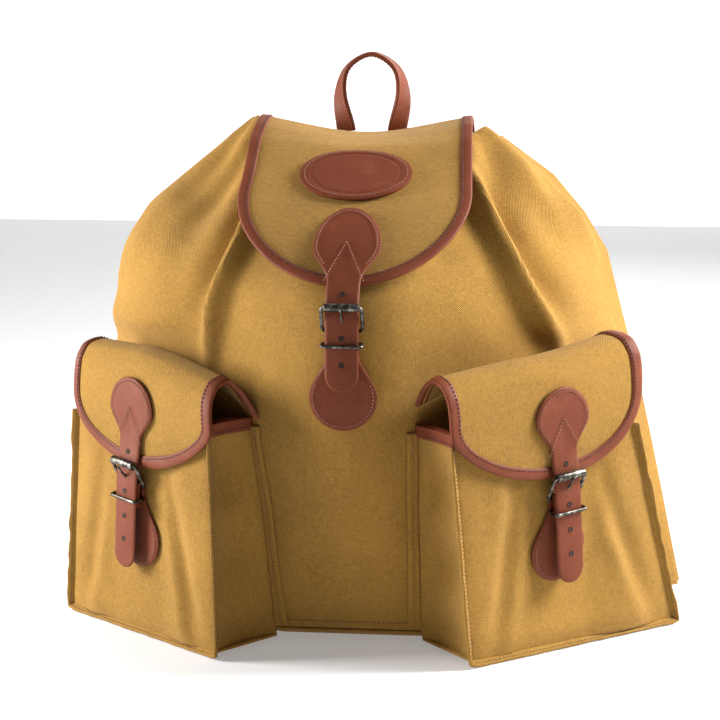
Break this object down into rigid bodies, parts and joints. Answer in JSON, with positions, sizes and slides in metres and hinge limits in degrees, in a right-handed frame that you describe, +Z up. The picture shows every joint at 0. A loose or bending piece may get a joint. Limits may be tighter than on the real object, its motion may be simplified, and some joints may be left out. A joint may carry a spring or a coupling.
{
  "type": "hunting rucksack",
  "caption": "Tapered canvas rucksack with a lid flap, angled side pockets, leather bindings, strap and roller-buckle closures, a carry handle and shoulder straps.",
  "frame": {"origin": "the middle of the flat of the base, on the ground, in line with the closure strap", "axes": "+X to the viewer's right when looking at the pockets, -Y out of the front, +Z up"},
  "size_m": [0.524, 0.303, 0.453],
  "materials": {
    "canvas": "mustard canvas, matt, with a fine diagonal weave",
    "leather": "red-brown smooth leather, semi-matt, stitched near its edges",
    "hardware": "antique dark nickel, satin"
  },
  "bodies": {
    "sack": {"front_panel": "canvas", "left_side_panel": "canvas", "right_side_panel": "canvas", "back_panel": "canvas", "base_panel": "canvas", "mouth_hem": "canvas", "lid_root": "canvas", "yoke_patch": "leather", "lid_lower_patch": "leather", "left_shoulder_strap": "leather", "left_billet_strap": "leather", "left_corner_tab": "leather", "right_shoulder_strap": "leather", "right_billet_strap": "leather", "right_corner_tab": "leather", "left_pocket_front": "canvas", "left_pocket_gusset": "canvas", "left_pocket_mouth_binding": "leather", "left_pocket_flap_root": "canvas", "left_pocket_lower_patch": "leather", "right_pocket_front": "canvas", "right_pocket_gusset": "canvas", "right_pocket_mouth_binding": "leather", "right_pocket_flap_root": "canvas", "right_pocket_lower_patch": "leather"},
    "lid": {"lid_panel": "canvas", "lid_binding": "leather", "lid_badge": "leather", "lid_strap": "leather"},
    "lid_buckle_frame": {"lid_buckle_frame": "hardware"},
    "lid_buckle_roller": {"lid_buckle_roller": "hardware"},
    "lid_buckle_prong": {"lid_buckle_prong": "hardware"},
    "lid_strap_keeper": {"lid_strap_keeper": "hardware"},
    "left_pocket_flap": {"left_pocket_flap": "canvas", "left_pocket_flap_binding": "leather", "left_pocket_strap": "leather"},
    "left_pocket_buckle_frame": {"left_pocket_buckle_frame": "hardware"},
    "left_pocket_buckle_roller": {"left_pocket_buckle_roller": "hardware"},
    "left_pocket_buckle_prong": {"left_pocket_buckle_prong": "hardware"},
    "left_pocket_strap_keeper": {"left_pocket_strap_keeper": "hardware"},
    "right_pocket_flap": {"right_pocket_flap": "canvas", "right_pocket_flap_binding": "leather", "right_pocket_strap": "leather"},
    "right_pocket_buckle_frame": {"right_pocket_buckle_frame": "hardware"},
    "right_pocket_buckle_roller": {"right_pocket_buckle_roller": "hardware"},
    "right_pocket_buckle_prong": {"right_pocket_buckle_prong": "hardware"},
    "right_pocket_strap_keeper": {"right_pocket_strap_keeper": "hardware"},
    "carry_handle": {"carry_handle": "leather"}
  },
  "joints": [
    {"name": "lid_fold", "type": "hinge", "parent": "sack", "child": "lid", "pos_m": [0, 0.0453, 0.4042], "axis": [-1, 0, 0], "range_deg": [0, 115], "deforming": ["lid_strap"]},
    {"name": "lid_frame_tilt", "type": "hinge", "parent": "sack", "child": "lid_buckle_frame", "pos_m": [0, -0.12756, 0.255], "axis": [1, 0, 0], "range_deg": [0, 60]},
    {"name": "lid_prong_lift", "type": "hinge", "parent": "sack", "child": "lid_buckle_prong", "pos_m": [0, -0.12756, 0.255], "axis": [1, 0, 0], "range_deg": [0, 75]},
    {"name": "lid_roller_turn", "type": "hinge", "parent": "lid_buckle_frame", "child": "lid_buckle_roller", "pos_m": [0, -0.13736, 0.2735], "axis": [1, 0, 0], "continuous": true},
    {"name": "lid_keeper_tilt", "type": "hinge", "parent": "sack", "child": "lid_strap_keeper", "pos_m": [0, -0.12756, 0.2455], "axis": [1, 0, 0], "range_deg": [-12, 12]},
    {"name": "left_pocket_flap_fold", "type": "hinge", "parent": "sack", "child": "left_pocket_flap", "pos_m": [-0.15326, -0.05838, 0.2342], "axis": [-0.7731, 0.6343, 0], "range_deg": [0, 110], "deforming": ["left_pocket_strap"]},
    {"name": "left_pocket_frame_tilt", "type": "hinge", "parent": "sack", "child": "left_pocket_buckle_frame", "pos_m": [-0.17148, -0.07201, 0.1225], "axis": [0.7712, -0.6328, -0.0698], "range_deg": [0, 60]},
    {"name": "left_pocket_prong_lift", "type": "hinge", "parent": "sack", "child": "left_pocket_buckle_prong", "pos_m": [-0.17148, -0.07201, 0.1225], "axis": [0.7712, -0.6328, -0.0698], "range_deg": [0, 75]},
    {"name": "left_pocket_roller_turn", "type": "hinge", "parent": "left_pocket_buckle_frame", "child": "left_pocket_buckle_roller", "pos_m": [-0.1767, -0.08041, 0.14095], "axis": [0.7712, -0.6328, -0.0698], "continuous": true},
    {"name": "left_pocket_keeper_tilt", "type": "hinge", "parent": "sack", "child": "left_pocket_strap_keeper", "pos_m": [-0.172, -0.07159, 0.11302], "axis": [0.7712, -0.6328, -0.0698], "range_deg": [-12, 12]},
    {"name": "right_pocket_flap_fold", "type": "hinge", "parent": "sack", "child": "right_pocket_flap", "pos_m": [0.15326, -0.05838, 0.2342], "axis": [-0.7731, -0.6343, 0], "range_deg": [0, 110], "deforming": ["right_pocket_strap"]},
    {"name": "right_pocket_frame_tilt", "type": "hinge", "parent": "sack", "child": "right_pocket_buckle_frame", "pos_m": [0.16306, -0.07892, 0.1225], "axis": [0.7712, 0.6328, 0.0698], "range_deg": [0, 60]},
    {"name": "right_pocket_prong_lift", "type": "hinge", "parent": "sack", "child": "right_pocket_buckle_prong", "pos_m": [0.16306, -0.07892, 0.1225], "axis": [0.7712, 0.6328, 0.0698], "range_deg": [0, 75]},
    {"name": "right_pocket_roller_turn", "type": "hinge", "parent": "right_pocket_buckle_frame", "child": "right_pocket_buckle_roller", "pos_m": [0.16828, -0.08731, 0.14095], "axis": [0.7712, 0.6328, 0.0698], "continuous": true},
    {"name": "right_pocket_keeper_tilt", "type": "hinge", "parent": "sack", "child": "right_pocket_strap_keeper", "pos_m": [0.16358, -0.0785, 0.11302], "axis": [0.7712, 0.6328, 0.0698], "range_deg": [-12, 12]},
    {"name": "handle_flop", "type": "hinge", "parent": "sack", "child": "carry_handle", "pos_m": [0, 0.088, 0.388], "axis": [-1, 0, 0], "range_deg": [-15, 85]}
  ],
  "couplings": [
    {"joint": "lid_frame_tilt", "follows": "lid_fold", "ratio": 0.5216},
    {"joint": "lid_prong_lift", "follows": "lid_fold", "ratio": 0.6521},
    {"joint": "left_pocket_frame_tilt", "follows": "left_pocket_flap_fold", "ratio": 0.5454},
    {"joint": "left_pocket_prong_lift", "follows": "left_pocket_flap_fold", "ratio": 0.6817},
    {"joint": "right_pocket_frame_tilt", "follows": "right_pocket_flap_fold", "ratio": 0.5454},
    {"joint": "right_pocket_prong_lift", "follows": "right_pocket_flap_fold", "ratio": 0.6817}
  ]
}
